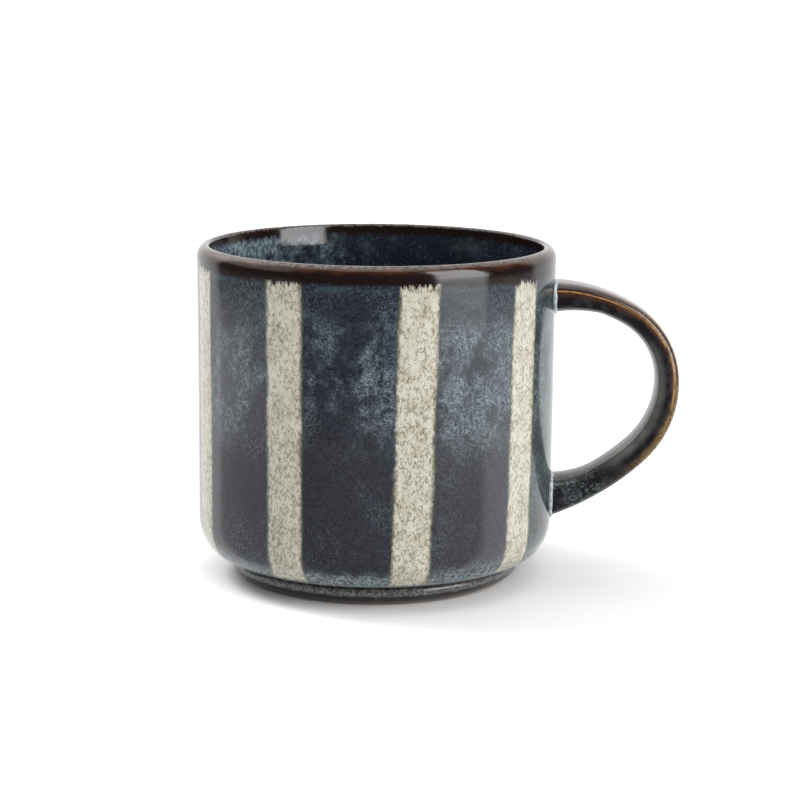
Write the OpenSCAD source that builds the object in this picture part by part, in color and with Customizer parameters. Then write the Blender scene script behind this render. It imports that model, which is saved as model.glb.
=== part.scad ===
// Stoneware mug with a pulled strap handle and a striped glaze.
// Units are millimetres. The mug stands on z = 0, its axis is Z and its handle points along +X.

/* [Cup] */
// Outside diameter of the glazed wall
mug_d = 90; // [80:0.5:100]
// Height from the table to the top of the lip
mug_h = 84; // [78:0.5:110]
// Thickness of the wall with the glaze on both sides
wall_t = 3.8; // [3.4:0.1:5]
// Thickness of the lip, thinner than the wall
lip_t = 3.2; // [2.6:0.1:3.4]
// Height of the long round on the lip's outer side
lip_round_h = 3; // [1.5:0.1:3.5]
// Radius of the small round on the lip's inner side
lip_in_r = 0.8; // [0.6:0.1:1.2]
// Height over which the inner wall leans out to meet the lip
lip_lean_h = 5.4; // [3:0.2:8]
// Height of the glazed floor inside the cup
floor_z = 9; // [8:0.5:12]
// Radius of the corner between the floor and the inner wall
corner_r = 10; // [6:0.5:14]

/* [Shoulder and foot] */
// Height at which the straight wall starts to curve in
shoulder_z = 15.6; // [14:0.2:18]
// Radius at which the shoulder meets the groove above the foot
shoulder_in_r = 37.1; // [36:0.1:38]
// Fullness of the shoulder's curve: 1 is a plain quarter of an ellipse, less is fuller
shoulder_curve = 0.9; // [0.8:0.02:1]
// Height of the groove's upper edge
groove_top_z = 5.5; // [5.2:0.1:7]
// Height of the groove between the shoulder and the foot ring
groove_h = 0.6; // [0.4:0.1:0.8]
// Largest radius of the foot ring
foot_r = 37.2; // [36.8:0.1:38]
// Radius of the round along the foot ring's top edge
foot_edge = 1; // [0.6:0.1:1.4]
// Outer radius of the ring that touches the table
contact_r = 32.3; // [31:0.1:35]
// Width of the ring that touches the table
contact_w = 4.2; // [3:0.1:6]
// Depth of the hollow under the mug, up to the glaze
recess_h = 2.6; // [1.5:0.1:3.4]
// Height of the bare clay line at the bottom of the foot
bare_h = 0.7; // [0.6:0.1:2]

/* [Glaze] */
// Thickness of every glaze coat
glaze_t = 0.4; // [0.3:0.05:0.5]
// Depth of the dark band at the lip
rim_band_h = 4; // [3:0.2:6]
// Angle that one cream stripe covers
stripe_span = 12; // [8:0.5:16]
// Turn of the whole set of stripes about the cup's axis
stripe_turn = 0; // [-6:0.5:6]

/* [Handle] */
// Width of the strap
strap_w = 13; // [11:0.5:16]
// Thickness of the strap at the top arm
strap_t_top = 6; // [5.4:0.1:7]
// Thickness of the strap where it comes back to the cup
strap_t_low = 7.5; // [6.5:0.1:9]
// Height of the strap's centre line at the upper root
upper_root_z = 71.9; // [70:0.1:73]
// How much wider each side of the strap gets where it meets the cup
root_flare_w = 0.6; // [0:0.1:2]
// Thickness of the slip layer that joins the handle to the cup
slip_t = 0.6; // [0.4:0.1:1]

/* [Hidden] */
// Middle of each cream stripe, from the handle's direction: set out by eye, so not quite even
stripe_at = [0, 40, 80, 120, 160.5, 200.5, 241, 282, 322];
stripe_numbers = [for (i = [1 : len(stripe_at)]) i];

$fn = 96;

wall_r = mug_d / 2;                         // glazed outside
bore_r = wall_r - wall_t;                   // glazed inside
clay_r = wall_r - glaze_t;                  // clay outside
lip_in_z = mug_h - lip_in_r;                // height where the liner meets the lip
band_z = mug_h - rim_band_h;                // lower edge of the rim band
groove_z = groove_top_z - groove_h;         // top of the foot ring
groove_r = foot_r - foot_edge - 0.2;        // glazed root of the groove
recess_r = contact_r - contact_w;           // inner edge of the contact ring
recess_draft = 0.8;                         // slope of the recess's side

slip_r = clay_r + slip_t;                   // the handle's clay starts here
root_span = asin((strap_w / 2 + root_flare_w) / clay_r);    // angle from a root's middle to its side
// The centre line of the strap: each row is the radius and the turn of one arc, from the top
strap_arcs = [[39.3, 29.7], [19.9, 54.5], [23.6, 52.5], [57.8, 26.6]];
strap_start = 0.4;                          // depth inside the clay where the first arc starts
strap_stub = 3;                             // straight start inside the wall
strap_step = 2.6;                           // distance between two sections
strap_sides = 20;                           // points round one section
strap_square = [0.5, 0.8];                  // fullness of the outer and the inner side: 1 is an ellipse
// Extra thickness at the wall, on the outer and the inner side of the strap
upper_flare = [0.15, 1.75];
lower_flare = [0.15, 2.7];
flare_power = [1, 1.6];                     // how suddenly the upper and the lower root thicken
flare_l = 12;                               // how far from the wall a root starts to thicken

clay_color = [0.66, 0.40, 0.22];
slip_color = [0.52, 0.47, 0.40];
dark_color = [0.13, 0.16, 0.22];
cream_color = [0.78, 0.75, 0.66];
rim_color = [0.30, 0.16, 0.10];
liner_color = [0.08, 0.11, 0.15];
handle_color = [0.22, 0.13, 0.08];

// ---- outlines in the plane of a radius (x is the radius, y the height) ----

// A sine or cosine made fuller by an exponent below 1
function fuller(v, exponent) = sign(v) * pow(abs(v), exponent);

// Points of a round or oval corner about c, from angle a0 to a1
function oval(c, rx, ry, a0, a1, n = 12, curve = 1) = [
    for (i = [0 : n])
        let (a = a0 + (a1 - a0) * i / n)
        c + [rx * fuller(cos(a), curve), ry * fuller(sin(a), curve)]
];

// The shoulder from the groove up to the wall, inset is 0 on the glaze and glaze_t on the clay
function shoulder(inset) =
    oval(
        [shoulder_in_r, shoulder_z],
        wall_r - inset - shoulder_in_r,
        shoulder_z - groove_top_z - inset,
        -90, 0, 14, shoulder_curve
    );

// The foot ring from the table up to its top edge
function foot_side(inset) =
    let (z = groove_z - foot_edge, edge = foot_edge - inset)
    concat(
        oval([contact_r, z], foot_r - inset - contact_r, z, -90, 0, 8),
        oval([foot_r - foot_edge, z], edge, edge, 15, 90, 5)
    );

// The outside of the clay from the table to just under the lip
function clay_outside() = concat(
    foot_side(glaze_t),
    [[groove_r - glaze_t, groove_z - glaze_t], [groove_r - glaze_t, groove_top_z + glaze_t]],
    shoulder(glaze_t)
);

// The lip, inset as above: a long round outside, a small one inside
function lip(inset) =
    let (crest_r = wall_r - lip_t + lip_in_r, out = lip_t - lip_in_r - inset, in = lip_in_r - inset)
    concat(
        oval([crest_r, mug_h - lip_round_h], out, lip_round_h - inset, 0, 90),
        oval([crest_r, lip_in_z], in, in, 105, 180, 5)
    );

// The inside of the cup from the lip down to the floor's centre
function inside(inset) = concat(
    [[wall_r - lip_t + inset, lip_in_z], [bore_r + inset, lip_in_z - lip_lean_h]],
    oval([bore_r - corner_r, floor_z + corner_r], corner_r + inset, corner_r + inset, 0, -90),
    [[0, floor_z - inset]]
);

// The hollow under the foot from the centre out to the table
function recess(inset) = [
    [0, recess_h + inset],
    [recess_r - recess_draft + inset, recess_h + inset],
    [recess_r + inset, 0]
];

// ---- clay ----

module body() {
    color(clay_color)
        rotate_extrude()
            polygon(concat(clay_outside(), lip(glaze_t), inside(glaze_t), recess(glaze_t)));
}

// ---- strap handle ----

// Where an arc of radius r leads after a turn of a to the right; a state is [x, z, heading]
function turned(s, r, a) = [
    s[0] + r * (sin(s[2]) - sin(s[2] - a)),
    s[1] + r * (cos(s[2] - a) - cos(s[2])),
    s[2] - a
];
function arc_start(i) =
    i == 0 ? [clay_r - strap_start, upper_root_z, 0]
        : turned(arc_start(i - 1), strap_arcs[i - 1][0], strap_arcs[i - 1][1]);
function arc_steps(i) = ceil(strap_arcs[i][0] * strap_arcs[i][1] * PI / 180 / strap_step);

strap_line = concat(
    [[clay_r - strap_stub, upper_root_z, 0]],
    [for (i = [0 : len(strap_arcs) - 1])
        for (k = [0 : arc_steps(i) - (i == len(strap_arcs) - 1 ? 0 : 1)])
            turned(arc_start(i), strap_arcs[i][0], strap_arcs[i][1] * k / arc_steps(i))]
);
strap_last = len(strap_line) - 1;

// 0 where the strap is clear of the cup, growing to 1 at the wall
function root_grow(i) =
    let (near = max(0, min(1, 1 - (strap_line[i][0] - slip_r) / flare_l)))
    pow(near, flare_power[i < strap_last / 2 ? 0 : 1]);

// Half thickness on the outer (side 0) or inner (side 1) face of section i
function half_t(i, side) =
    let (low = max(0, i / strap_last - 0.45) / 0.55)
    (strap_t_top + (strap_t_low - strap_t_top) * low) / 2
        + root_grow(i) * (i < strap_last / 2 ? upper_flare : lower_flare)[side];

function strap_section(i, inset) = [
    for (k = [0 : strap_sides - 1])
        let (
            s = strap_line[i],
            a = 360 * k / strap_sides,
            side = sin(a) > 0 ? 0 : 1,
            w = (strap_w / 2 + root_grow(i) * root_flare_w - inset)
                * fuller(cos(a), strap_square[side]),
            n = (half_t(i, side) - inset) * fuller(sin(a), strap_square[side])
        )
        [s[0] - n * sin(s[2]), w, s[1] + n * cos(s[2])]
];

module strap(inset) {
    points = [for (i = [0 : strap_last]) each strap_section(i, inset)];
    sides = [
        for (i = [0 : strap_last - 1])
            for (k = [0 : strap_sides - 1])
                let (j = (k + 1) % strap_sides, a = i * strap_sides, b = a + strap_sides)
                each [[a + k, b + k, b + j], [a + k, b + j, a + j]]
    ];
    first = [for (k = [0 : strap_sides - 1]) k];
    last = [for (k = [strap_sides - 1 : -1 : 0]) strap_last * strap_sides + k];
    polyhedron(points, concat([first, last], sides));
}

module wall_cylinder(r) {
    translate([0, 0, -1])
        cylinder(r = r, h = mug_h + 2);
}

module handle() {
    color(clay_color)
        difference() {
            strap(glaze_t);
            wall_cylinder(slip_r);
        }
}

// The slip that fills the scored gap between the cup and one root of the handle
module slip_joint(z_from, z_to) {
    color(slip_color)
        difference() {
            intersection() {
                strap(0);
                translate([clay_r - strap_stub, -strap_w, z_from])
                    cube([strap_stub * 2, strap_w * 2, z_to - z_from]);
                wall_cylinder(slip_r);
            }
            wall_cylinder(clay_r);
        }
}

module upper_slip_joint() {
    slip_joint(mug_h / 2, mug_h);
}

module lower_slip_joint() {
    slip_joint(0, mug_h / 2);
}

// ---- glaze coats ----

module liner_glaze() {
    color(liner_color)
        rotate_extrude()
            polygon(concat(inside(0), [for (i = [len(inside(0)) - 1 : -1 : 0]) inside(glaze_t)[i]]));
}

module rim_glaze() {
    color(rim_color)
        rotate_extrude()
            polygon(concat(
                [[wall_r, band_z]],
                lip(0),
                [for (i = [len(lip(0)) - 1 : -1 : 0]) lip(glaze_t)[i]],
                [[clay_r, band_z]]
            ));
}

module foot_glaze() {
    groove_skin = [[groove_r, groove_z], [groove_r, groove_top_z], [shoulder_in_r, groove_top_z]];
    groove_clay = [
        [shoulder_in_r, groove_top_z + glaze_t],
        [groove_r - glaze_t, groove_top_z + glaze_t],
        [groove_r - glaze_t, groove_z - glaze_t]
    ];
    color(dark_color)
        intersection() {
            rotate_extrude()
                polygon(concat(
                    foot_side(0),
                    groove_skin,
                    groove_clay,
                    [for (i = [len(foot_side(0)) - 1 : -1 : 1]) foot_side(glaze_t)[i]]
                ));
            translate([0, 0, bare_h])
                cylinder(r = wall_r, h = mug_h);
        }
}

module base_glaze() {
    color(dark_color)
        intersection() {
            rotate_extrude()
                polygon(concat(recess(0), [for (i = [2 : -1 : 0]) recess(glaze_t)[i]]));
            translate([0, 0, bare_h])
                cylinder(r = wall_r, h = mug_h);
        }
}

module handle_glaze() {
    color(handle_color)
        difference() {
            strap(0);
            strap(glaze_t);
            wall_cylinder(slip_r);
        }
}

// A sector of the outside coat, from the groove to the rim band, clear of the handle's roots
module outside_glaze(from, span) {
    reaches_handle = from < root_span || from + span > 360 - root_span;
    difference() {
        rotate([0, 0, from])
            rotate_extrude(angle = span)
                polygon(concat(
                    shoulder(0),
                    [[wall_r, band_z], [clay_r, band_z]],
                    [for (i = [len(shoulder(0)) - 1 : -1 : 0]) shoulder(glaze_t)[i]]
                ));
        if (reaches_handle)
            strap(0);
    }
}

module cream_stripe(i) {
    color(cream_color)
        outside_glaze(stripe_at[i - 1] - stripe_span / 2 + stripe_turn, stripe_span);
}

// The dark glaze between stripe i and the next one
module dark_glaze(i) {
    next = i < len(stripe_at) ? stripe_at[i] : stripe_at[0] + 360;
    color(dark_color)
        outside_glaze(
            stripe_at[i - 1] + stripe_span / 2 + stripe_turn,
            next - stripe_at[i - 1] - stripe_span
        );
}

body();
handle();
upper_slip_joint();
lower_slip_joint();
liner_glaze();
rim_glaze();
foot_glaze();
base_glaze();
handle_glaze();
for (i = stripe_numbers) {
    cream_stripe(i);
    dark_glaze(i);
}
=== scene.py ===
import math

import bmesh
import bpy
import numpy as np
from mathutils import Matrix, Vector


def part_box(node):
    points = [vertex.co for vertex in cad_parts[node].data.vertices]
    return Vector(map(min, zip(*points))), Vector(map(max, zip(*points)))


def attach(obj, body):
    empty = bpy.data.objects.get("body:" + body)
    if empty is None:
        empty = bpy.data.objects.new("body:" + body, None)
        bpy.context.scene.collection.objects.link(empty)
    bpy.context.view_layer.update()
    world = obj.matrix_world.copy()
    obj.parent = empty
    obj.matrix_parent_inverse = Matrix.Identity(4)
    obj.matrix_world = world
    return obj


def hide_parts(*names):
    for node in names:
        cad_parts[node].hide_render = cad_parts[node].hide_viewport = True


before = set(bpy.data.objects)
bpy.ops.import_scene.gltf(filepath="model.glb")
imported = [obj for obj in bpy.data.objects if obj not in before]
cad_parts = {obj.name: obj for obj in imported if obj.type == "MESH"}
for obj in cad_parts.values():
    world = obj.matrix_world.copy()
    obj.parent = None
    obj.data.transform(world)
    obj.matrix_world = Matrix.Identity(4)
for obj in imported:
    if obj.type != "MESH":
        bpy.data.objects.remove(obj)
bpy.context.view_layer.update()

# Looks of the striped stoneware mug. Metres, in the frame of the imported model: the table is z = 0,
# the cup's axis is Z and the handle points along +X. Profiles are lists of (radius, height), and an
# inset of 0 gives a coat's outer face, an inset of glaze_t the face that lies on the clay.

MM = 0.001

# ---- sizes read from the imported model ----

rim_lo, rim_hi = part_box("rim_glaze")
foot_lo, foot_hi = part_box("foot_glaze")
wall_r = rim_hi.y
mug_h = rim_hi.z
band_z = rim_lo.z
foot_r = foot_hi.y
bare_z = foot_lo.z
groove_top_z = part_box("cream_stripe_3")[0].z
glaze_t = mug_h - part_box("body")[1].z
clay_r = wall_r - glaze_t
floor_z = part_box("liner_glaze")[0].z + glaze_t
recess_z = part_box("base_glaze")[1].z - glaze_t

# ---- the rest of the cup's profile, as driving dimensions ----

wall_t = 3.8 * MM
bore_r = wall_r - wall_t
lip_t = 3.2 * MM
lip_round_h = 3 * MM
lip_in_r = 0.8 * MM
lip_in_z = mug_h - lip_in_r
lip_lean = 5.4 * MM
corner_r = 10 * MM
shoulder_z = 15.6 * MM
shoulder_in_r = 37.1 * MM
shoulder_curve = 0.9
foot_edge = 1 * MM
groove_h = 0.6 * MM
groove_d = 0.2 * MM
groove_z = groove_top_z - groove_h
groove_r = foot_r - foot_edge - groove_d
contact_r = 32.3 * MM
contact_w = 4.2 * MM
recess_r = contact_r - contact_w
recess_draft = 0.8 * MM

# ---- the strap handle: strap_arcs holds the radius in millimetres and the turn in degrees ----

strap_half_w = 6.5 * MM
strap_t_top = 6 * MM
strap_t_low = 7.5 * MM
thicken_from = 0.45
strap_z = 71.9 * MM
strap_square = (0.5, 0.8)
strap_arcs = ((39.3, 29.7), (19.9, 54.5), (23.6, 52.5), (57.8, 26.6))
root_flare_w = 0.6 * MM
upper_flare = (0.15 * MM, 1.75 * MM)
lower_flare = (0.15 * MM, 2.7 * MM)
flare_power = (1, 1.6)
flare_l = 12 * MM
slip_r = clay_r + 0.6 * MM
strap_start_r = clay_r - 0.4 * MM
strap_end_r = clay_r - 1.2 * MM
lead_in = 2.2 * MM
run_out = 2 * MM
chord = 0.06 * MM
bead_r = 0.5 * MM


def sector(node):
    """First angle and span of a node of the outside coat, in degrees about the cup's axis."""
    found = []
    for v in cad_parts[node].data.vertices:
        if v.co.xy.length > clay_r * 0.99:
            found.append(round(math.degrees(math.atan2(v.co.y, v.co.x)) % 360, 2))
    found = sorted(set(found))
    gaps = [(found[i] - found[i - 1]) % 360 for i in range(len(found))]
    start = found[gaps.index(max(gaps))]
    return start, 360 - max(gaps)


cream_nodes = sorted(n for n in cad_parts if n.startswith("cream_stripe_"))
dark_nodes = sorted(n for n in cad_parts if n.startswith("dark_glaze_"))
sectors = {n: sector(n) for n in cream_nodes + dark_nodes}
stripe_angles = [(sectors[n][0] + sectors[n][1] / 2) % 360 for n in cream_nodes]


# ---- outlines ----

def fuller(v, exponent):
    """A sine or cosine made fuller by an exponent below 1."""
    return math.copysign(abs(v) ** exponent, v)


def oval(cx, cz, rx, rz, a0, a1, n, curve=1.0):
    """Points of a round or oval corner about (cx, cz), from angle a0 to a1 in degrees."""
    points = []
    for i in range(n + 1):
        a = math.radians(a0 + (a1 - a0) * i / n)
        points.append((cx + rx * fuller(math.cos(a), curve), cz + rz * fuller(math.sin(a), curve)))
    return points


def straight(p, q, n):
    """Points from p to q in n steps, without p."""
    return [(p[0] + (q[0] - p[0]) * i / n, p[1] + (q[1] - p[1]) * i / n) for i in range(1, n + 1)]


def outside(inset):
    """The outside coat from the groove over the shoulder up to the rim band."""
    rx = wall_r - inset - shoulder_in_r
    rz = shoulder_z - groove_top_z - inset
    shoulder = oval(shoulder_in_r, shoulder_z, rx, rz, -90, 0, 20, shoulder_curve)
    return shoulder + straight(shoulder[-1], (wall_r - inset, band_z), 16)


def lip(inset):
    """The rim coat from the rim band over the lip to the inner wall."""
    start = (wall_r - inset, band_z)
    crest_r = wall_r - lip_t + lip_in_r
    outer = oval(crest_r, mug_h - lip_round_h, lip_t - lip_in_r - inset, lip_round_h - inset, 0, 90, 16)
    inner = oval(crest_r, lip_in_z, lip_in_r - inset, lip_in_r - inset, 90, 180, 9)
    return [start, outer[0]] + outer[1:] + inner[1:]


def inside(inset):
    """The liner from the lip down the wall to the middle of the floor, with soft throwing rings."""
    top = (wall_r - lip_t + inset, lip_in_z)
    bend = (bore_r + inset, lip_in_z - lip_lean)
    foot = (bore_r + inset, floor_z + corner_r)
    corner = oval(bore_r - corner_r, floor_z + corner_r, corner_r + inset, corner_r + inset, 0, -90, 14)
    wall = [top] + straight(top, bend, 4) + straight(bend, foot, 36) + corner[1:]
    if not inset:
        wall = [(r + wall_ripple(z), z) for r, z in wall]
    floor = straight(wall[-1], (0, floor_z - inset), 20)
    if not inset:
        floor = [(r, z + floor_ripple(r)) for r, z in floor]
    return wall + floor


def wall_ripple(z):
    """Throwing rings on the inner wall, which fade out over the 8 mm at its ends."""
    low = floor_z + corner_r
    high = lip_in_z - lip_lean
    fade = max(0.0, min(1.0, (z - low) / (8 * MM), (high - z) / (8 * MM)))
    return 0.07 * MM * math.sin(0.9 * z / MM) * fade


def floor_ripple(r):
    """Throwing rings on the cup's floor, which fade out over the 4 mm round its middle."""
    return 0.08 * MM * math.sin(1.1 * r / MM) * min(1, r / (4 * MM))


def foot_curve(inset, n=12):
    """The side of the foot ring from the table to its top edge."""
    z = groove_z - foot_edge
    side = oval(contact_r, z, foot_r - inset - contact_r, z, -90, 0, n)
    edge = foot_edge - inset
    return side + oval(foot_r - foot_edge, z, edge, edge, 15, 90, 6)


def foot_coat(inset):
    """The foot's coat from the bare clay line over the edge and through the groove."""
    side = [p for p in foot_curve(inset) if p[1] > bare_z]
    low = max(p for p in foot_curve(inset) if p[1] <= bare_z)
    t = (bare_z - low[1]) / (side[0][1] - low[1])
    start = (low[0] + (side[0][0] - low[0]) * t, bare_z)
    root = groove_r - inset
    groove = [(root, groove_z - inset), (root, groove_top_z + inset)]
    return [start] + side + groove + [(shoulder_in_r, groove_top_z + inset)]


def recess(inset):
    """The hollow under the foot, from the bare ring to the middle."""
    slope = recess_draft / recess_z
    start = (recess_r + inset - bare_z * slope, bare_z)
    corner = (recess_r - recess_draft + inset, recess_z + inset)
    return [start] + straight(start, corner, 4) + straight(corner, (0, recess_z + inset), 24)


def clay_outline():
    """The whole section of the thrown body, from the table round to the middle of the recess."""
    groove = [(groove_r - glaze_t, groove_z - glaze_t), (groove_r - glaze_t, groove_top_z + glaze_t)]
    bottom = [(recess_r - recess_draft + glaze_t, recess_z + glaze_t), (recess_r + glaze_t, 0)]
    return (foot_curve(glaze_t) + groove + outside(glaze_t) + lip(glaze_t)[1:]
            + inside(glaze_t)[1:] + [(0, recess_z + glaze_t)] + bottom)


# ---- meshes ----

def handmade(angle, z):
    """How far the outside coat lies inside the true circle: slow waves of a hand-finished wall."""
    fade = max(0.0, min(1.0, (band_z - z) / (14 * MM), (z - groove_top_z) / (10 * MM)))
    wave = math.sin(3 * angle + 1.1) + math.sin(5 * angle - 0.4 + z / (19 * MM))
    ripple = math.sin(9 * angle + z / (11 * MM)) * 0.5 + math.sin(z / (6.5 * MM) + 2 * angle) * 0.4
    return (0.05 * MM + 0.02 * MM * (wave * 0.5 + ripple * 0.5)) * fade


def coat_point(p, angle):
    """A point of the outside coat, drawn in from the true profile by the hand-made waves."""
    r = p[0] - handmade(angle, p[1])
    return Vector((r * math.cos(angle), r * math.sin(angle), p[1]))


def finish_piece(mesh, node, slot, material):
    """Puts a finished mesh in the scene in place of its CAD node."""
    piece = bpy.data.objects.new(mesh.name, mesh)
    bpy.context.scene.collection.objects.link(piece)
    mesh.materials.clear()
    mesh.materials.append(material)
    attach(piece, "root")
    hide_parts(node)


def closed_mesh(name, points, faces, weld=False, sharp=0):
    """A smooth closed mesh with normals outwards. Edges that bend more than sharp degrees stay crisp."""
    mesh = bpy.data.meshes.new(name)
    mesh.from_pydata(points, [], faces)
    work = bmesh.new()
    work.from_mesh(mesh)
    if weld:
        bmesh.ops.remove_doubles(work, verts=work.verts, dist=1e-7)
        bmesh.ops.dissolve_degenerate(work, edges=work.edges, dist=1e-8)
    bmesh.ops.recalc_face_normals(work, faces=work.faces)
    work.to_mesh(mesh)
    work.free()
    mesh.shade_smooth()
    if sharp:
        mesh.set_sharp_from_angle(angle=math.radians(sharp))
    return mesh


def hoop_faces(count, n):
    """Faces of count sections of n points each, closed both ways like a hoop."""
    faces = []
    for i in range(count):
        j = (i + 1) % count
        for k in range(n):
            m = (k + 1) % n
            faces.append((i * n + k, j * n + k, j * n + m, i * n + m))
    return faces


def turned(name, section, step=2):
    """A closed section turned right round the axis. Points on the axis become one point."""
    count = 360 // step
    points = []
    for i in range(count):
        a = math.radians(i * step)
        points += [(r * math.cos(a), r * math.sin(a), z) for r, z in section]
    return closed_mesh(name, points, hoop_faces(count, len(section)), weld=True, sharp=38)


def ring(name, profile, step=2):
    """A turned coat between the outer face and the clay face of a profile function."""
    return turned(name, profile(0) + profile(glaze_t)[::-1], step)


def skin_normal(profile, i, angle):
    """The outside coat's normal at one point, from its neighbours on both sides."""
    low = profile[max(0, i - 1)]
    high = profile[min(len(profile) - 1, i + 1)]
    along = coat_point(high, angle) - coat_point(low, angle)
    across = coat_point(profile[i], angle + 0.01) - coat_point(profile[i], angle - 0.01)
    return across.cross(along).normalized()


def sector_faces(steps, n):
    """Faces of a sector made of columns that hold n outer points and then n inner ones."""
    faces = []
    for i in range(steps):
        a, b = i * 2 * n, (i + 1) * 2 * n
        for k in range(n - 1):
            faces.append((a + k, b + k, b + k + 1, a + k + 1))
            faces.append((a + n + k, a + n + k + 1, b + n + k + 1, b + n + k))
        faces.append((a + n - 1, b + n - 1, b + 2 * n - 1, a + 2 * n - 1))
        faces.append((b, a, a + n, b + n))
    last = steps * 2 * n
    for k in range(n - 1):
        faces.append((k, k + 1, n + k + 1, n + k))
        faces.append((last + k + 1, last + k, last + n + k, last + n + k + 1))
    return faces


def coat_sector(node):
    """One sector of the outside coat. Its outer normals match its neighbours', so no seam shows."""
    start, span = sectors[node]
    outer, inner = outside(0), outside(glaze_t)
    steps = max(2, round(span))
    n = len(outer)
    angles = [math.radians(start + span * i / steps) for i in range(steps + 1)]
    points = []
    for a in angles:
        points += [coat_point(p, a) for p in outer]
        points += [Vector((r * math.cos(a), r * math.sin(a), z)) for r, z in inner]
    mesh = bpy.data.meshes.new(node + "_coat")
    mesh.from_pydata(points, [], sector_faces(steps, n))
    mesh.shade_smooth()
    normals = []
    for face in mesh.polygons:
        columns = {v // (2 * n) for v in face.vertices}
        on_skin = len(columns) > 1 and all(v % (2 * n) < n for v in face.vertices)
        for v in face.vertices:
            if on_skin:
                normals.append(skin_normal(outer, v % (2 * n), angles[v // (2 * n)]))
            else:
                normals.append(face.normal.copy())
    mesh.normals_split_custom_set(normals)
    return mesh


# ---- strap handle ----

def arc_end(state, r, a):
    """Where an arc of radius r leads after a turn of a degrees to the right."""
    x, z, h = state
    g = h - math.radians(a)
    return (x + r * (math.sin(h) - math.sin(g)), z + r * (math.cos(g) - math.cos(h)), g)


def strap_line(step):
    """States (x, z, heading) along the strap's centre line, from inside the wall to inside the wall."""
    state = (strap_start_r, strap_z, 0.0)
    line = [(strap_start_r - lead_in, strap_z, 0.0)]
    for r, a in strap_arcs:
        count = math.ceil(r * MM * math.radians(a) / step)
        line += [arc_end(state, r * MM, a * k / count) for k in range(count)]
        state = arc_end(state, r * MM, a)
    x, z, h = state
    return line + [state, (x + run_out * math.cos(h), z + run_out * math.sin(h), h)]


def root_grow(x, root):
    """0 where the strap is clear of the cup, growing to 1 at the wall; root 0 is the upper one."""
    return max(0.0, min(1.0, 1 - (x - slip_r) / flare_l)) ** flare_power[root]


def strap_point(line, i, turn, inset):
    """A point of the strap's section i, at a turn round the section: 0 is +Y, a quarter the outer side.

    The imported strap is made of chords, so this smooth one is drawn in by chord to stay within it.
    Both ends stop inside the wall.
    """
    x, z, h = line[i]
    u = i / (len(line) - 1)
    side = 0 if math.sin(turn) > 0 else 1
    root = 0 if u < 0.5 else 1
    grow = root_grow(x, root)
    low = max(0.0, u - thicken_from) / (1 - thicken_from)
    flare = (upper_flare, lower_flare)[root][side]
    half_t = (strap_t_top + (strap_t_low - strap_t_top) * low) / 2 + grow * flare
    half_w = strap_half_w + grow * root_flare_w
    n = fuller(math.sin(turn), strap_square[side]) * (half_t - inset - chord)
    w = fuller(math.cos(turn), strap_square[side]) * (half_w - inset - chord)
    point = Vector((x - n * math.sin(h), w, z + n * math.cos(h)))
    reach = point.xy.length
    if reach < strap_end_r:
        point.x *= strap_end_r / reach
        point.y *= strap_end_r / reach
    return point


def strap_mesh(name, sides=56, step=1.2 * MM):
    """The handle's coat: an outer and an inner tube along the strap, joined at both ends.

    The attribute strap_place says where each point lies: from -1 on the hollow side to 1 on the
    outer side, from 0 in the middle of the width to 1 at its edges, and from 0 to 1 along the strap.
    """
    line = strap_line(step)
    turns = [2 * math.pi * k / sides for k in range(sides)]
    points = []
    places = []
    for inset in (0, glaze_t):
        for i in range(len(line)):
            points += [strap_point(line, i, t, inset) for t in turns]
            u = i / (len(line) - 1)
            for t in turns:
                square = strap_square[0 if math.sin(t) > 0 else 1]
                places.append((fuller(math.sin(t), square), abs(fuller(math.cos(t), square)), u))
    shift = len(line) * sides
    faces = []
    for i in range(len(line) - 1):
        for k in range(sides):
            j = (k + 1) % sides
            a, b = i * sides, (i + 1) * sides
            faces.append((a + k, b + k, b + j, a + j))
            faces.append((shift + a + k, shift + a + j, shift + b + j, shift + b + k))
    last = (len(line) - 1) * sides
    for k in range(sides):
        j = (k + 1) % sides
        faces.append((j, k, shift + k, shift + j))
        faces.append((last + k, last + j, shift + last + j, shift + last + k))
    mesh = closed_mesh(name, points, faces, sharp=50)
    place = mesh.attributes.new("strap_place", "FLOAT_VECTOR", "POINT")
    place.data.foreach_set("vector", np.array(places, np.float32).ravel())
    return mesh


def seam_line(upper, count=72):
    """Where the strap's surface meets the cup's wall, round one root."""
    line = strap_line(0.4 * MM)
    order = list(range(len(line)))
    if not upper:
        order.reverse()
    seam = []
    for k in range(count):
        turn = 2 * math.pi * k / count
        before = strap_point(line, order[0], turn, 0)
        for i in order[1:]:
            after = strap_point(line, i, turn, 0)
            if after.xy.length >= wall_r:
                t = (wall_r - before.xy.length) / (after.xy.length - before.xy.length)
                seam.append(before.lerp(after, t))
                break
            before = after
    return seam


def bead_mesh(name, path, sides=10):
    """A thin round bead along a closed path, a little uneven like pooled glaze."""
    count = len(path)
    points = []
    for i, p in enumerate(path):
        along = (path[(i + 1) % count] - path[i - 1]).normalized()
        out = Vector((p.x, p.y, 0)).normalized()
        side = along.cross(out).normalized()
        r = bead_r * (1 + 0.12 * math.sin(i * 0.9) + 0.08 * math.sin(i * 0.37))
        for k in range(sides):
            a = 2 * math.pi * k / sides
            points.append(p + out * (r * math.cos(a)) + side * (r * math.sin(a)))
    return closed_mesh(name, points, hoop_faces(count, sides))


# ---- material building ----

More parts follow.
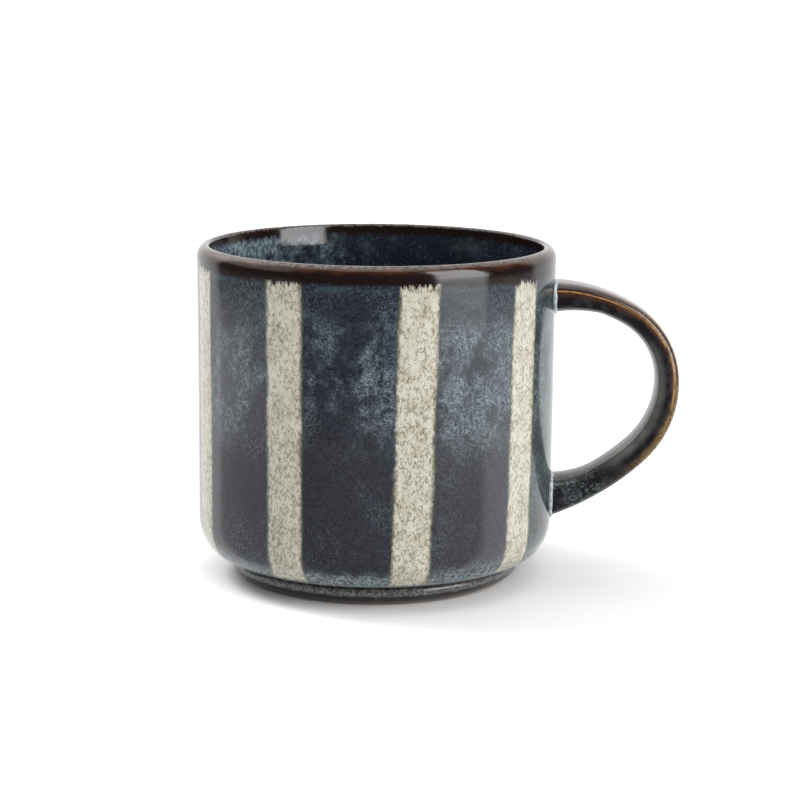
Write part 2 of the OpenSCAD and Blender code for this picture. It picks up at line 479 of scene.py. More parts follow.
class Shader:
    """Builds a node tree one step at a time. Positions and noise scales are in millimetres."""

    def __init__(self, name):
        self.material = bpy.data.materials.new(name)
        self.material.use_nodes = True
        self.tree = self.material.node_tree
        self.tree.nodes.clear()
        self.output = self.new("ShaderNodeOutputMaterial")
        self.coat = self.new("ShaderNodeBsdfPrincipled")
        self.join(self.coat.outputs["BSDF"], self.output.inputs["Surface"])
        place = self.new("ShaderNodeTexCoord").outputs["Object"]
        self.place = self.scaled(place, (1 / MM, 1 / MM, 1 / MM))
        split = self.new("ShaderNodeSeparateXYZ")
        self.join(self.place, split.inputs[0])
        self.x, self.y, self.z = split.outputs

    def new(self, kind):
        return self.tree.nodes.new(kind)

    def join(self, value, socket):
        """Links an output to a socket, or sets a plain value on it."""
        if isinstance(value, bpy.types.NodeSocket):
            self.tree.links.new(value, socket)
        else:
            socket.default_value = value

    def scaled(self, vector, factors):
        """A vector with each of its parts multiplied by its own factor."""
        node = self.new("ShaderNodeVectorMath")
        node.operation = "MULTIPLY"
        self.join(vector, node.inputs[0])
        self.join(factors, node.inputs[1])
        return node.outputs[0]

    def dot(self, vector, direction):
        """How far a vector reaches in a direction."""
        node = self.new("ShaderNodeVectorMath")
        node.operation = "DOT_PRODUCT"
        self.join(vector, node.inputs[0])
        self.join(direction, node.inputs[1])
        return node.outputs["Value"]

    def math(self, operation, a, b=0.0):
        node = self.new("ShaderNodeMath")
        node.operation = operation
        self.join(a, node.inputs[0])
        self.join(b, node.inputs[1])
        return node.outputs[0]

    def add(self, a, b):
        return self.math("ADD", a, b)

    def times(self, a, b):
        return self.math("MULTIPLY", a, b)

    def ramp(self, value, low, high):
        """low where value is 0 and high where it is 1."""
        return self.add(self.times(value, high - low), low)

    def step(self, value, low, high):
        """0 below low, 1 above high and smooth between; low may be above high."""
        node = self.new("ShaderNodeMapRange")
        node.interpolation_type = "SMOOTHSTEP"
        flip = low > high
        self.join(value, node.inputs["Value"])
        self.join(min(low, high), node.inputs["From Min"])
        self.join(max(low, high), node.inputs["From Max"])
        self.join(1.0 if flip else 0.0, node.inputs["To Min"])
        self.join(0.0 if flip else 1.0, node.inputs["To Max"])
        return node.outputs["Result"]

    def band(self, value, low, high, soft):
        """1 between low and high, falling to 0 over soft on both sides."""
        rise = self.step(value, low - soft, low)
        return self.times(rise, self.step(value, high + soft, high))

    def noise(self, size, detail=2.0, stretch=(1, 1, 1), roughness=0.5, twist=0.0, seed=0.0):
        """Noise from 0 to 1 whose features are about size across, longer where stretch is above 1."""
        factors = tuple(1 / (size * s) for s in stretch)
        where = self.scaled(self.place, factors)
        if seed:
            moved = self.new("ShaderNodeVectorMath")
            self.join(where, moved.inputs[0])
            self.join((seed, seed * 1.7, seed * 0.6), moved.inputs[1])
            where = moved.outputs[0]
        node = self.new("ShaderNodeTexNoise")
        self.join(where, node.inputs["Vector"])
        self.join(1.0, node.inputs["Scale"])
        self.join(detail, node.inputs["Detail"])
        self.join(roughness, node.inputs["Roughness"])
        self.join(twist, node.inputs["Distortion"])
        return node.outputs[0]

    def wander(self, reach, size, detail=2.0, stretch=(1, 1, 1), seed=0.0):
        """Noise round 0, which swings over reach in all."""
        hills = self.noise(size, detail, stretch, seed=seed)
        return self.times(self.math("SUBTRACT", hills, 0.5), reach)

    def strokes(self, size, width, stretch=(1, 1, 1), detail=1.5, twist=0.0, seed=0.0):
        """1 along thin curved lines that wander between the noise's hills, 0 elsewhere."""
        hills = self.noise(size, detail, stretch, 0.5, twist, seed)
        away = self.math("ABSOLUTE", self.math("SUBTRACT", hills, 0.5))
        return self.step(away, width, width * 0.3)

    def mix(self, amount, a, b):
        """Colour a where amount is 0 and colour b where it is 1."""
        node = self.new("ShaderNodeMix")
        node.data_type = "RGBA"
        self.join(amount, node.inputs["Factor"])
        sockets = [s for s in node.inputs if s.type == "RGBA"]
        for value, socket in zip((a, b), sockets):
            plain = tuple(value) + (1,) if isinstance(value, tuple) and len(value) == 3 else value
            self.join(plain, socket)
        return [s for s in node.outputs if s.type == "RGBA"][0]

    def bump(self, height, depth):
        """A bump of that depth in millimetres where height goes from 0 to 1."""
        node = self.new("ShaderNodeBump")
        self.join(height, node.inputs["Height"])
        self.join(depth * MM, node.inputs["Distance"])
        self.join(1.0, node.inputs["Strength"])
        return node.outputs["Normal"]

    def done(self, colour, roughness, normal):
        """Joins the finished colour, roughness and normal to the shader and gives the material."""
        self.join(colour, self.coat.inputs["Base Color"])
        self.join(roughness, self.coat.inputs["Roughness"])
        self.join(normal, self.coat.inputs["Normal"])
        self.coat.inputs["IOR"].default_value = GLASS_IOR
        return self.material


# ---- colours, linear, and places on the mug in millimetres ----

GLASS_IOR = 1.5

CREAM = (0.430, 0.412, 0.352)
CREAM_WARM = (0.310, 0.280, 0.212)
CREAM_DOT = (0.070, 0.060, 0.035)
SPECK = (0.110, 0.098, 0.062)
HALO = (0.060, 0.066, 0.044)

NAVY = (0.0070, 0.0090, 0.0165)
NAVY_PALE = (0.022, 0.027, 0.038)
CHARCOAL = (0.0195, 0.0182, 0.0240)
PIT = (0.006, 0.008, 0.013)
SKIM = (0.060, 0.066, 0.078)
FLECK = (0.200, 0.255, 0.280)
SEA_GREEN = (0.085, 0.122, 0.120)
PALE_BLUE = (0.24, 0.31, 0.33)
TEAL = (0.030, 0.062, 0.068)
HEM_BLUE = (0.075, 0.090, 0.100)

BROWN_BLACK = (0.0080, 0.0038, 0.0034)
COPPER = (0.046, 0.017, 0.009)
# Pale lip crest: partly thin glaze, partly a painted highlight of the light above
LIP_PALE_AND_HIGHLIGHT = (0.170, 0.130, 0.108)

LINER_NAVY = (0.0095, 0.0120, 0.0200)
LINER_PALE = (0.155, 0.205, 0.235)
POOL_BLUE = (0.05, 0.09, 0.12)

FOOT_MOTTLE = (0.035, 0.043, 0.048)
FOOT_THIN = (0.100, 0.055, 0.033)
# Foot ring's top band, dark and pale mottling: a painted highlight
RING_HIGHLIGHT_DARK = (0.050, 0.052, 0.050)
RING_HIGHLIGHT_PALE = (0.170, 0.170, 0.165)

STRAP_BLACK = (0.008, 0.007, 0.009)
STRAP_GREY = (0.022, 0.021, 0.025)
# Hollow side of the handle's bow: a painted reflection
HOLLOW_REFLECTION_GREY = (0.150, 0.155, 0.140)
RED_BROWN = (0.052, 0.019, 0.008)
AMBER = (0.150, 0.068, 0.020)
OLIVE_GOLD = (0.125, 0.080, 0.028)
# Golden line on the handle's corner: partly the glaze's break, partly a painted highlight
GOLD_LINE_AND_HIGHLIGHT = (0.42, 0.23, 0.09)
GOLD_SPECK = (0.30, 0.19, 0.07)
ROOT_FLECK = (0.130, 0.170, 0.165)

CLAY = (0.230, 0.135, 0.075)
CLAY_LIGHT = (0.300, 0.155, 0.080)
IRON_SPOT = (0.060, 0.032, 0.020)
SLIP_PALE = (0.46, 0.51, 0.53)
SLIP_GREY = (0.20, 0.23, 0.25)

TOP = mug_h / MM
BAND = band_z / MM
GROOVE = groove_top_z / MM
FLOOR = floor_z / MM
BARE = bare_z / MM
WALL = wall_r / MM
STRIPE_HALF_W = 4.75

# How far each stripe leans to the right over its height, in millimetres for each millimetre
STRIPE_SLANT = (0.020, -0.012, 0.015, 0.030, -0.008, 0.0, 0.0, 0.024, 0.028)


# ---- the outside coat ----

def stripe_edge(s):
    """Distance in millimetres from the nearest stripe's edge, positive inside a stripe."""
    middle = (BAND + GROOVE) / 2
    found = None
    for angle, slant in zip(stripe_angles, STRIPE_SLANT):
        a = math.radians(angle)
        offset = s.dot(s.place, (-math.sin(a), math.cos(a), -slant))
        offset = s.math("ABSOLUTE", s.add(offset, slant * middle))
        this = s.math("SUBTRACT", STRIPE_HALF_W, offset)
        this = s.math("MINIMUM", this, s.dot(s.place, (math.cos(a), math.sin(a), 0)))
        found = this if found is None else s.math("MAXIMUM", found, this)
    sway = s.wander(1.3, 9, 2, (1, 1, 1.8))
    fray = s.wander(0.9, 0.8, 2, (1, 1, 1.5), seed=3.0)
    return s.add(found, s.add(sway, fray))


def cream_colour(s):
    """Cream glaze with short olive strokes and specks, busier lower down; and those strokes."""
    warm = s.step(s.noise(2.4, 4, (1, 1, 1.8), 0.6, seed=5.0), 0.38, 0.70)
    base = s.mix(s.times(warm, 0.7), CREAM, CREAM_WARM)
    lower = s.times(s.step(s.z, 78.0, 25.0), 0.06)
    crowd = s.wander(0.25, 5, 2, seed=7.0)
    busy = s.add(s.add(s.noise(0.9, 2, (1, 1, 1.5), 0.6, seed=11.0), crowd), lower)
    strokes = s.times(s.strokes(0.75, 0.10, (1, 1, 1.8), 1.5, 0.3, 23.0), s.step(busy, 0.46, 0.58))
    dots = s.step(s.add(s.noise(0.6, 1, (1, 1, 1.4), seed=17.0), s.times(crowd, 0.5)), 0.60, 0.74)
    marked = s.mix(s.times(strokes, 0.62), base, SPECK)
    return s.mix(s.times(dots, 0.7), marked, CREAM_DOT), strokes


def pale_clouds(s, base, height):
    """Clouds of fine pale flecks in the upper half, thicker towards the handle, and dark pits."""
    zone = s.add(s.band(height, 47.0, 63.0, 11.0), s.times(s.step(s.z, 26.0, 60.0), 0.10))
    thicker = s.times(s.band(s.x, 20.0, 30.0, 7.0), 0.10)
    cloud = s.step(s.add(s.noise(9, 4, (1, 1, 1.3), 0.62, seed=21.0), thicker), 0.42, 0.62)
    torn = s.step(s.add(s.noise(2.6, 3, (1, 1, 1), 0.6, seed=22.0), thicker), 0.34, 0.58)
    lace = s.strokes(0.85, 0.055, (1, 1, 1), 2.5, 0.8, 13.0)
    grain = s.step(s.noise(0.6, 3, (1, 1, 1), 0.7, seed=29.0), 0.50, 0.64)
    flecks = s.add(s.times(lace, 0.50), s.ramp(grain, 0.09, 0.39))
    base = s.mix(s.times(s.times(zone, s.times(cloud, torn)), flecks), base, FLECK)
    pits = s.step(s.noise(0.9, 2, seed=27.0), 0.56, 0.66)
    return s.mix(s.times(pits, s.ramp(zone, 0.15, 0.65)), base, PIT)


def green_by_handle(s, base):
    """Mottled sea green on the wall round the handle."""
    beside = s.times(s.step(s.x, 33.0, 38.0), s.step(s.z, 79.0, 72.0))
    patches = s.step(s.noise(6.0, 4, (1, 1, 1.3), 0.6, seed=38.0), 0.40, 0.62)
    mottle = s.step(s.noise(0.9, 3, (1, 1, 1), 0.7, seed=39.0), 0.42, 0.60)
    amount = s.times(s.times(beside, s.ramp(patches, 0.25, 1.0)), s.ramp(mottle, 0.15, 0.80))
    return s.mix(amount, base, SEA_GREEN)


def dark_colour(s):
    """Navy glaze above and plain charcoal below, under clouds and loose hairs of pale flecks."""
    height = s.add(s.z, s.wander(16.0, 14, 2, seed=2.0))
    base = s.mix(s.step(height, 40.0, 62.0), CHARCOAL, NAVY)
    patch = s.step(s.noise(3.4, 4, (1, 1, 1.2), 0.65, 0.6, seed=9.0), 0.36, 0.74)
    base = s.mix(s.times(patch, 0.35), base, NAVY_PALE)
    base = pale_clouds(s, base, height)
    veil = s.step(s.noise(16, 2, seed=31.0), 0.45, 0.7)
    hairs = s.strokes(1.0, 0.045, (1, 1, 1), 2.0, 0.6, 37.0)
    base = s.mix(s.times(hairs, s.ramp(veil, 0.07, 0.27)), base, FLECK)
    return green_by_handle(s, base)


def pooled_edges(s, dark):
    """Pale blue mottling where the dark glaze pools on the shoulder, and teal under the rim."""
    low = s.step(s.add(s.z, s.times(s.noise(3, 3, seed=41.0), 6.0)), GROOVE + 9.5, GROOVE + 3.5)
    pale = s.step(s.noise(0.8, 3, (1, 1, 0.8), 0.7, seed=43.0), 0.44, 0.60)
    dark = s.mix(s.times(low, s.ramp(pale, 0.12, 0.97)), dark, PALE_BLUE)
    height = s.add(s.z, s.times(s.noise(2.2, 3, seed=47.0), 1.6))
    patchy = s.step(s.noise(5.0, 2, seed=48.0), 0.40, 0.62)
    under_rim = s.times(s.band(height, BAND - 1.0, BAND - 0.3, 0.6), patchy)
    dark = s.mix(s.times(under_rim, 0.5), dark, TEAL)
    grain = s.step(s.noise(0.45, 2, seed=44.0), 0.3, 0.7)
    return s.mix(s.times(grain, 0.12), dark, SKIM)


def rim_runs(s, colour, in_stripe):
    """The rim glaze runs down over the coat in uneven drips, further over the cream."""
    streaks = s.times(s.step(s.z, 75.0, 79.5), in_stripe)
    streaks = s.times(streaks, s.step(s.noise(0.7, 2, (1, 1, 2.5), seed=56.0), 0.54, 0.62))
    colour = s.mix(s.times(streaks, 0.6), colour, BROWN_BLACK)
    drips = s.math("SUBTRACT", s.noise(0.8, 3, (1, 1, 4.5), 0.6, seed=53.0), 0.5)
    run = s.add(s.z, s.times(drips, s.ramp(in_stripe, 1.2, 6.0)))
    run = s.add(run, s.times(s.step(s.x, 14.0, 34.0), 1.4))
    run = s.add(run, s.wander(1.2, 7, 1, seed=54.0))
    return s.mix(s.step(run, BAND - 1.1, BAND + 0.1), colour, BROWN_BLACK)


def lower_edge(s, colour):
    """A thin blue-grey hem at the bottom of the shoulder, and painted shade in brown-black where it
    turns under.
    """
    hem = s.add(s.z, s.times(s.noise(1.1, 3, (1, 1, 2.0), seed=55.0), 1.2))
    colour = s.mix(s.times(s.step(hem, GROOVE + 2.5, GROOVE + 1.7), 0.8), colour, HEM_BLUE)
    # Painted shade: brown-black where the shoulder turns under into the groove
    under = s.step(s.z, GROOVE + 0.7, GROOVE + 0.2)
    return s.mix(s.times(under, 0.75), colour, BROWN_BLACK)


def outside_glaze(name):
    """The outside coat: dark glaze, cream stripes and the rim glaze that runs down over both."""
    s = Shader(name)
    edge = stripe_edge(s)
    cream, strokes = cream_colour(s)
    dark = pooled_edges(s, dark_colour(s))
    in_stripe = s.step(edge, -0.25, 0.45)
    colour = s.mix(in_stripe, dark, cream)
    halo = s.times(s.band(edge, -0.25, 0.35, 0.45), s.step(s.noise(1.6, 2, seed=45.0), 0.3, 0.6))
    colour = s.mix(s.times(halo, 0.6), colour, HALO)
    colour = lower_edge(s, rim_runs(s, colour, in_stripe))
    height = s.add(s.times(s.noise(2.4, 3, seed=59.0), 0.6), s.times(in_stripe, 0.5))
    height = s.math("SUBTRACT", height, s.times(strokes, s.times(in_stripe, 0.12)))
    return s.done(colour, s.ramp(s.noise(1.6, 2, seed=61.0), 0.07, 0.13), s.bump(height, 0.03))


# ---- the other coats ----

def rim_glaze():
    """Brown-black rim glaze that breaks to copper, and over the crest of the lip a pale colour that is
    partly thin glaze and partly a painted highlight.
    """
    s = Shader("rim_glaze")
    ragged = s.wander(1.4, 1.6, 3, (1, 1, 1.4))
    height = s.add(s.z, ragged)
    radius = s.math("SQRT", s.add(s.times(s.x, s.x), s.times(s.y, s.y)))
    outer = s.step(s.add(radius, s.times(ragged, 0.5)), WALL - 1.8, WALL - 0.8)
    breaks = s.times(s.step(height, TOP - 2.2, TOP - 1.0), outer)
    patchy = s.step(s.noise(7.0, 2, seed=3.0), 0.35, 0.65)
    colour = s.mix(s.times(breaks, s.ramp(patchy, 0.4, 1.0)), BROWN_BLACK, COPPER)
    # Pale crest of the lip: partly thin glaze, partly a painted highlight
    pale_crest_and_highlight = s.step(s.noise(1.1, 3, seed=5.0), 0.35, 0.6)
    pale_crest_and_highlight = s.times(s.step(height, TOP - 0.9, TOP - 0.2), pale_crest_and_highlight)
    colour = s.mix(s.times(pale_crest_and_highlight, 0.5), colour, LIP_PALE_AND_HIGHLIGHT)
    spots = s.step(s.noise(0.6, 2, seed=9.0), 0.62, 0.72)
    colour = s.mix(s.times(spots, 0.7), colour, BROWN_BLACK)
    normal = s.bump(s.noise(1.8, 2, seed=12.0), 0.02)
    return s.done(colour, s.ramp(s.noise(2, 2, seed=14.0), 0.08, 0.16), normal)


def liner_glaze():
    """Dark blue liner with pale mottling, thickest away from the handle, and brown under the lip."""
    s = Shader("liner_glaze")
    thick = s.step(s.x, 8.0, -40.0)
    cloud = s.step(s.add(s.noise(5, 4, (1, 1, 1.2), 0.6), s.times(thick, 0.20)), 0.48, 0.68)
    cloud = s.times(cloud, s.ramp(thick, 0.15, 1.0))
    fine = s.step(s.noise(0.9, 3, (1, 1, 1.3), 0.7, seed=3.0), 0.44, 0.60)
    colour = s.mix(s.times(cloud, s.ramp(fine, 0.3, 1.0)), LINER_NAVY, LINER_PALE)
    pool = s.step(s.z, FLOOR + 7.0, FLOOR + 0.5)
    colour = s.mix(s.times(pool, s.ramp(fine, 0.3, 0.65)), colour, POOL_BLUE)
    flecks = s.step(s.noise(0.6, 2, seed=8.0), 0.62, 0.72)
    colour = s.mix(s.times(flecks, 0.35), colour, FLECK)
    height = s.add(s.z, s.times(s.noise(1.4, 2, (1, 1, 3), seed=6.0), 2.4))
    colour = s.mix(s.step(height, TOP - 2.4, TOP - 0.6), colour, BROWN_BLACK)
    normal = s.bump(s.noise(3.0, 3, seed=19.0), 0.03)
    return s.done(colour, s.ramp(s.noise(2, 2, seed=23.0), 0.07, 0.13), normal)


def foot_glaze():
    """Brown-black glaze under the foot, with a painted highlight in a pale band at its edge and warm on
    the bare clay.
    """
    s = Shader("foot_glaze")
    mottle = s.step(s.noise(1.4, 3, (1, 1, 1), 0.65), 0.45, 0.7)
    colour = s.mix(s.times(mottle, 0.5), BROWN_BLACK, FOOT_MOTTLE)
    thin = s.step(s.add(s.z, s.times(s.noise(1.2, 2, seed=4.0), 0.6)), BARE + 0.7, BARE + 0.3)
    colour = s.mix(s.times(thin, 0.45), colour, FOOT_THIN)
    # Painted highlight: a pale mottled band round the foot ring's top edge
    height = s.add(s.z, s.wander(0.9, 1.3, 3, seed=5.0))
    edge = s.band(height, GROOVE - 2.4, GROOVE - 0.9, 0.5)
    pale = s.step(s.noise(0.7, 3, (1, 1, 1), 0.7, seed=6.0), 0.4, 0.62)
    colour = s.mix(s.times(edge, 0.8), colour, s.mix(pale, RING_HIGHLIGHT_DARK, RING_HIGHLIGHT_PALE))
    normal = s.bump(s.noise(1.5, 2, seed=7.0), 0.03)
    return s.done(colour, s.ramp(s.noise(2, 2, seed=9.0), 0.12, 0.20), normal)


def strap_places(s):
    """The three parts of the strap_place attribute: out, width and along."""
    mark = s.new("ShaderNodeAttribute")
    mark.attribute_name = "strap_place"
    split = s.new("ShaderNodeSeparateXYZ")
    s.join(mark.outputs["Vector"], split.inputs[0])
    return split.outputs


def strap_flats(s, out, along):
    """Blue-black glaze, with a painted grey-green reflection along the hollow side of the bow."""
    cloud = s.step(s.noise(3.0, 3, seed=3.0), 0.4, 0.65)
    colour = s.mix(cloud, STRAP_BLACK, STRAP_GREY)
    # Painted reflection: bright grey-green on the hollow side of the bow
    hollow = s.times(s.step(out, -0.10, -0.75), s.band(along, 0.42, 0.68, 0.16))
    hollow = s.times(hollow, s.ramp(cloud, 0.75, 1.0))
    return s.mix(s.times(hollow, 0.85), colour, HOLLOW_REFLECTION_GREY)


def strap_warmth(s, colour, out, width, along):
    """Red-brown on the arm and amber on the bow's outer corners; and where the amber lies."""
    ragged = s.wander(0.35, 2.2, 3, (1.6, 1, 1.6))
    place = s.add(out, ragged)
    arm = s.times(s.step(along, 0.55, 0.15), s.step(place, -0.15, 0.25))
    streak = s.step(s.noise(2.4, 3, (0.5, 1, 1.6), 0.6, seed=4.0), 0.34, 0.62)
    colour = s.mix(s.times(arm, s.ramp(streak, 0.3, 0.9)), colour, RED_BROWN)
    bow = s.step(s.add(along, s.times(ragged, 0.3)), 0.86, 0.60)
    bow = s.times(s.step(along, 0.12, 0.35), bow)
    corner = s.times(s.times(s.step(place, 0.05, 0.50), s.step(width, 0.30, 0.70)), bow)
    patchy = s.ramp(s.step(s.noise(3.2, 3, seed=5.0), 0.35, 0.62), 0.35, 0.90)
    warm = s.mix(s.step(along, 0.35, 0.62), AMBER, OLIVE_GOLD)
    return s.mix(s.times(corner, patchy), colour, warm), corner


def strap_lines(s, colour, out, width, along, corner):
    """A broken golden line along the outer corner, partly the glaze's break and partly a painted
    highlight; a dark line beyond it, and golden specks.
    """
    wavy = s.add(out, s.wander(0.16, 5.0, 2, (2, 1, 2), seed=6.0))
    # The golden line is partly a painted highlight along the curved outer corner
    line = s.times(s.band(wavy, 0.42, 0.47, 0.06), s.step(width, 0.6, 0.85))
    broken = s.times(s.step(s.noise(3.5, 2, seed=7.0), 0.34, 0.54), s.step(along, 0.70, 0.45))
    colour = s.mix(s.times(s.times(line, broken), 0.7), colour, GOLD_LINE_AND_HIGHLIGHT)
    beyond = s.times(s.band(wavy, 0.62, 0.80, 0.10), s.step(along, 0.60, 0.35))
    colour = s.mix(s.times(beyond, 0.8), colour, BROWN_BLACK)
    specks = s.times(s.step(s.noise(0.6, 2, seed=8.0), 0.54, 0.64), corner)
    return s.mix(s.times(specks, 0.45), colour, GOLD_SPECK)


def root_flecks(s, colour, along):
    """Patches of pale sea-green flecks towards the lower root."""
    patches = s.times(s.step(along, 0.76, 0.86), s.step(s.noise(4.0, 3, seed=12.0), 0.36, 0.60))
    flecks = s.step(s.noise(0.7, 3, (1, 1, 1), 0.7, seed=11.0), 0.47, 0.60)
    return s.mix(s.times(patches, s.times(flecks, 0.55)), colour, ROOT_FLECK)


def handle_glaze():
    """The handle's coat, from red-brown at the upper root to fleck-patched black at the lower."""
    s = Shader("handle_glaze")
    out, width, along = strap_places(s)
    colour = strap_flats(s, out, along)
    colour, corner = strap_warmth(s, colour, out, width, along)
    colour = strap_lines(s, colour, out, width, along, corner)
    colour = root_flecks(s, colour, along)
    normal = s.bump(s.noise(2.2, 3, seed=13.0), 0.04)
    return s.done(colour, s.ramp(s.noise(1.8, 2, seed=17.0), 0.08, 0.16), normal)


def clay():
    """Bare iron-rich stoneware: warm, matt and finely speckled."""
    s = Shader("clay")
    colour = s.mix(s.step(s.noise(2.2, 4, (1, 1, 0.6), 0.6), 0.35, 0.7), CLAY, CLAY_LIGHT)
    iron = s.step(s.noise(0.45, 2, seed=4.0), 0.66, 0.76)
    colour = s.mix(s.times(iron, 0.8), colour, IRON_SPOT)
    normal = s.bump(s.noise(0.35, 3, seed=6.0), 0.03)
    return s.done(colour, s.ramp(s.noise(1.5, 2, seed=8.0), 0.62, 0.77), normal)


def slip():
    """The slip line round each root under its pooled glaze: pale grey-blue and glossy."""
    s = Shader("slip")
    colour = s.mix(s.step(s.noise(1.3, 3), 0.35, 0.65), SLIP_PALE, SLIP_GREY)
    normal = s.bump(s.noise(0.9, 2, seed=3.0), 0.03)
    return s.done(colour, s.ramp(s.noise(1.1, 2, seed=5.0), 0.1, 0.2), normal)


# ---- pieces ----

def mug_finishes():
    """Every material of the mug, by the name of the slot it fills."""
    return {
        "clay": clay(),
        "dark_glaze": outside_glaze("dark_glaze"),
        "cream_glaze": outside_glaze("cream_glaze"),
        "foot_glaze": foot_glaze(),
        "handle_glaze": handle_glaze(),
        "slip": slip(),
        "liner_glaze": liner_glaze(),
        "rim_glaze": rim_glaze(),
    }


def build_mug():
    """Makes every visible piece. The handle's clay core, hidden in its coat, stays as packed."""
    pieces = [
        (turned("thrown_body", clay_outline()), "body", "clay"),
        (ring("liner_coat", inside), "liner_glaze", "liner_glaze"),
        (ring("lip_coat", lip, step=1), "rim_glaze", "rim_glaze"),
        (ring("foot_coat", foot_coat), "foot_glaze", "foot_glaze"),
        (ring("base_coat", recess), "base_glaze", "foot_glaze"),
    ]
    pieces += [(coat_sector(node), node, "cream_glaze") for node in cream_nodes]
    pieces += [(coat_sector(node), node, "dark_glaze") for node in dark_nodes]
    pieces += [
        (strap_mesh("strap_coat"), "handle_glaze", "handle_glaze"),
        (bead_mesh("upper_slip_bead", seam_line(upper=True)), "upper_slip_joint", "slip"),
        (bead_mesh("lower_slip_bead", seam_line(upper=False)), "lower_slip_joint", "slip"),
    ]
    finishes = mug_finishes()
    for mesh, node, slot in pieces:
        finish_piece(mesh, node, slot, finishes[slot])
    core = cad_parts["handle"]
    core.data.materials.clear()
    core.data.materials.append(finishes["clay"])


# ---- studio ----

# Soft panels round the mug, as seen from it, all in degrees: azimuth from the camera's side towards
# +X, elevation, then the radiance and the softness of the upright and of the level edges.
PANELS = {
    "window": ((38, 73), (-7, 50), 6.6, 4, 14),
    "under_window": ((38, 73), (-90, -7), 0.5, 8, 14),
    "right_low": ((73, 118), (-90, -8.5), 1.6, 8, 1.5),
    "left_strip": ((-122, -50), (-12, -9), 0.75, 7, 2),
    "left_low": ((-122, -50), (-90, -9), 0.6, 7, 2),
    "left_high": ((-150, -60), (20, 58), 0.8, 14, 12),
    "back": ((118, 240), (-90, 38), 1.1, 10, 12),
    "back_high": ((100, 260), (38, 60), 1.2, 10, 12),
}
CEILING = 1.75
CEILING_EDGE = (54, 66)
ROOM = 0.07

TABLE_WHITE = 0.80
TABLE_REACH = 3.0
SHADOW_R = wall_r + 3 * MM

# The camera stands on the -Y side. AIM_RIGHT and AIM_UP are tangents of how far its axis points
# past the mug, in the camera's own leaning frame.
CAMERA_RISE = math.radians(11.61)
CAMERA_LEAN = math.radians(0.349)
CAMERA_DISTANCE = 0.5459
CAMERA_LENS = 96.48
AIM_RIGHT = 0.011302
AIM_UP = 0.005283


def world_step(tree, value, low, high):
    """0 below low, 1 above high and smooth between."""
    node = tree.nodes.new("ShaderNodeMapRange")
    node.interpolation_type = "SMOOTHSTEP"
    tree.links.new(value, node.inputs["Value"])
    node.inputs["From Min"].default_value = low
    node.inputs["From Max"].default_value = high
    return node.outputs["Result"]


def world_math(tree, operation, *values):
    """A math node whose inputs are linked outputs or plain numbers."""
    node = tree.nodes.new("ShaderNodeMath")
    node.operation = operation
    for value, socket in zip(values, node.inputs):
        if isinstance(value, bpy.types.NodeSocket):
            tree.links.new(value, socket)
        else:
            socket.default_value = value
    return node.outputs[0]


def view_angles(tree):
    """Azimuth and elevation in degrees of the direction that a ray leaves in."""
    place = tree.nodes.new("ShaderNodeTexCoord").outputs["Generated"]
    split = tree.nodes.new("ShaderNodeSeparateXYZ")
    tree.links.new(place, split.inputs[0])
    x, y, z = split.outputs
    elevation = world_math(tree, "MULTIPLY", world_math(tree, "ARCSINE", z), 180 / math.pi)
    front = world_math(tree, "MULTIPLY", y, -1.0)
    azimuth = world_math(tree, "MULTIPLY", world_math(tree, "ARCTAN2", x, front), 180 / math.pi)
    return azimuth, elevation


def panel_light(tree, azimuth, elevation, panel):
    """The radiance of one soft panel in the ray's direction."""
    (a0, a1), (e0, e1), light, side_blur, level_blur = panel
    off = world_math(tree, "SUBTRACT", azimuth, (a0 + a1) / 2)
    off = world_math(tree, "ABSOLUTE", world_math(tree, "WRAP", off, 180.0, -180.0))
    within = world_math(tree, "SUBTRACT", (a1 - a0) / 2, off)
    across = world_step(tree, within, -side_blur / 2, side_blur / 2)
    below_top = world_math(tree, "SUBTRACT", e1, elevation)
    part = world_step(tree, below_top, -level_blur / 2, level_blur / 2)
    if e0 > -90:
        above = world_step(tree, elevation, e0 - level_blur / 2, e0 + level_blur / 2)
        part = world_math(tree, "MULTIPLY", part, above)
    return world_math(tree, "MULTIPLY", world_math(tree, "MULTIPLY", across, part), light)


def build_studio():
    """Soft panels light the mug and show in its glaze, and the camera sees plain white."""
    world = bpy.data.worlds.new("studio")
    bpy.context.scene.world = world
    world.use_nodes = True
    tree = world.node_tree
    tree.nodes.clear()
    azimuth, elevation = view_angles(tree)
    level = world_math(tree, "MULTIPLY", world_step(tree, elevation, *CEILING_EDGE), CEILING)
    level = world_math(tree, "ADD", level, ROOM)
    for panel in PANELS.values():
        level = world_math(tree, "ADD", level, panel_light(tree, azimuth, elevation, panel))
    lit = tree.nodes.new("ShaderNodeBackground")
    lit.inputs["Color"].default_value = (1, 1, 1, 1)
    tree.links.new(level, lit.inputs["Strength"])
    white = tree.nodes.new("ShaderNodeBackground")
    white.inputs["Color"].default_value = (1, 1, 1, 1)
    ray = tree.nodes.new("ShaderNodeLightPath")
    choose = tree.nodes.new("ShaderNodeMixShader")
    tree.links.new(ray.outputs["Is Camera Ray"], choose.inputs["Fac"])
    tree.links.new(lit.outputs[0], choose.inputs[1])
    tree.links.new(white.outputs[0], choose.inputs[2])
    out = tree.nodes.new("ShaderNodeOutputWorld")
    tree.links.new(choose.outputs[0], out.inputs["Surface"])


def table_paint():
    """Matt white with no gloss."""
    paint = bpy.data.materials.new("table_white")
    paint.use_nodes = True
    coat = paint.node_tree.nodes["Principled BSDF"]
    coat.inputs["Base Color"].default_value = (TABLE_WHITE, TABLE_WHITE, TABLE_WHITE, 1)
    coat.inputs["Roughness"].default_value = 0.9
    coat.inputs["Specular IOR Level"].default_value = 0.0
    return paint


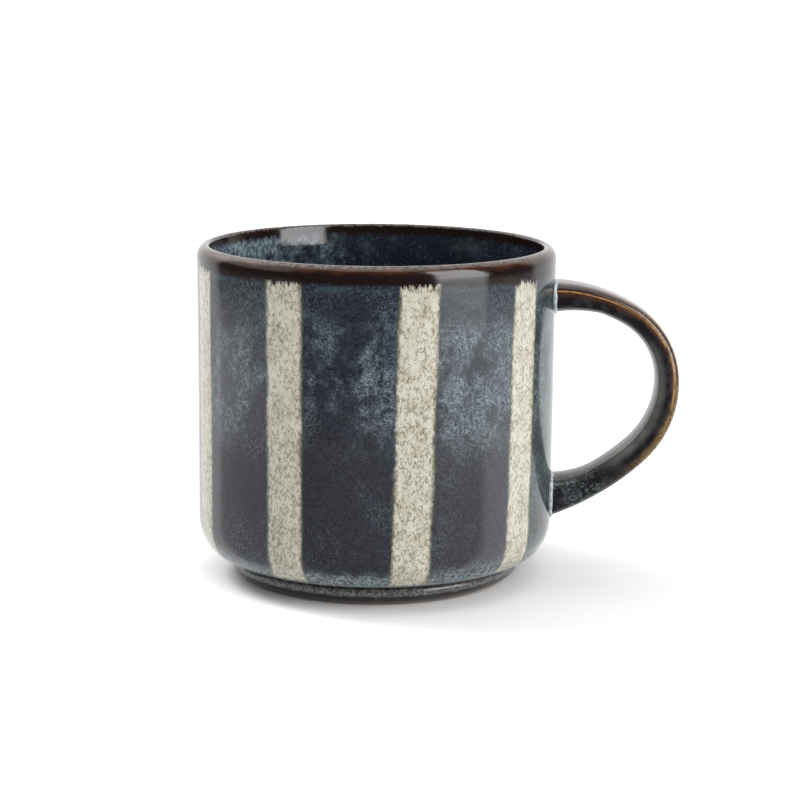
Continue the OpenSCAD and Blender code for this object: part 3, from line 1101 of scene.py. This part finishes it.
def build_floor(count=96):
    """A matt white table top. Only the part under the mug shows in its glaze, dark with its shadow;
    further out glossy rays pass the table and meet the studio's panels."""
    paint = table_paint()
    turns = [2 * math.pi * k / count for k in range(count)]
    near = [(SHADOW_R * math.cos(a), SHADOW_R * math.sin(a), 0) for a in turns]
    far = [(TABLE_REACH * math.cos(a), TABLE_REACH * math.sin(a), 0) for a in turns]
    outer = [(k, count + k, count + (k + 1) % count, (k + 1) % count) for k in range(count)]
    parts = (("table_near", near, [tuple(range(count))], True), ("table_far", near + far, outer, False))
    for name, points, faces, mirrored in parts:
        mesh = bpy.data.meshes.new(name)
        mesh.from_pydata(points, [], faces)
        mesh.materials.append(paint)
        table = bpy.data.objects.new(name, mesh)
        bpy.context.scene.collection.objects.link(table)
        table.visible_glossy = mirrored


def build_lamp(name, place, size, power):
    """A round soft lamp aimed at the mug, which the glaze does not mirror."""
    lamp = bpy.data.lights.new(name, "AREA")
    lamp.shape = "DISK"
    lamp.size = size
    lamp.energy = power
    holder = bpy.data.objects.new(name, lamp)
    bpy.context.scene.collection.objects.link(holder)
    holder.location = place
    holder.rotation_euler = (-Vector(place)).to_track_quat("-Z", "Y").to_euler()
    holder.visible_glossy = False
    holder.visible_camera = False


def build_camera():
    """A long lens a little above the lip, aimed to leave the mug left of and above the middle."""
    target = Vector((0, 0, 0.041))
    forward = Vector((0, math.cos(CAMERA_RISE), -math.sin(CAMERA_RISE)))
    right = Vector((1, 0, 0))
    up = right.cross(forward)
    side = right * math.cos(CAMERA_LEAN) + up * math.sin(CAMERA_LEAN)
    top = up * math.cos(CAMERA_LEAN) - right * math.sin(CAMERA_LEAN)
    back = -(forward + side * AIM_RIGHT + top * AIM_UP).normalized()
    across = top.cross(back).normalized()
    turn = Matrix((across, back.cross(across), back)).transposed()
    data = bpy.data.cameras.new("camera")
    data.sensor_width = 36
    data.lens = CAMERA_LENS
    data.clip_start = 0.01
    camera = bpy.data.objects.new("camera", data)
    bpy.context.scene.collection.objects.link(camera)
    camera.matrix_world = Matrix.Translation(target - forward * CAMERA_DISTANCE) @ turn.to_4x4()
    bpy.context.scene.camera = camera


build_mug()
build_studio()
build_floor()
build_lamp("key_lamp", place=(-0.62, 0.30, 0.74), size=0.42, power=7.0)
build_lamp("fill_lamp", place=(0.25, -0.95, 0.55), size=0.9, power=4.5)
build_camera()
bpy.context.scene.view_settings.view_transform = "Standard"
